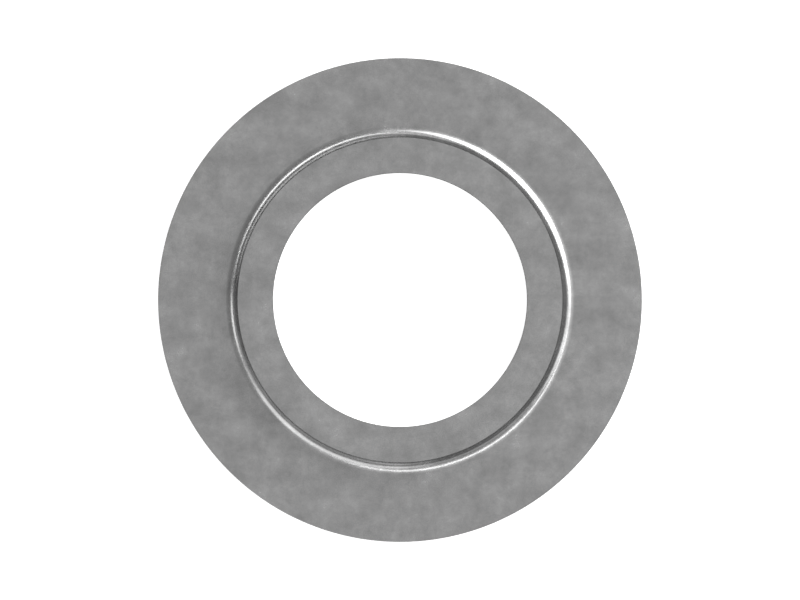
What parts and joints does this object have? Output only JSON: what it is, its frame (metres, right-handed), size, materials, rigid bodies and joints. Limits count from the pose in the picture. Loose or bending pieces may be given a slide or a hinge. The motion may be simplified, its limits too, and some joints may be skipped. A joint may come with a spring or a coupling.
{
  "type": "reducing washer",
  "caption": "Round pressed steel washer: a flat flange with a raised centre, filleted at its foot, and a hole through it, to step a large panel hole down to a smaller fitting.",
  "frame": {"origin": "on the washer's axis, at the back face of the flange, on which it rests", "axes": "+Z along the axis, towards the raised centre; the part is round, so +X and +Y are any two directions across it"},
  "size_m": [0.043, 0.043, 0.0036],
  "materials": {
    "zinc_plated_steel": "satin zinc plate with a faint cloudy mottle"
  },
  "bodies": {
    "root": {"washer": "zinc_plated_steel"}
  },
  "joints": []
}
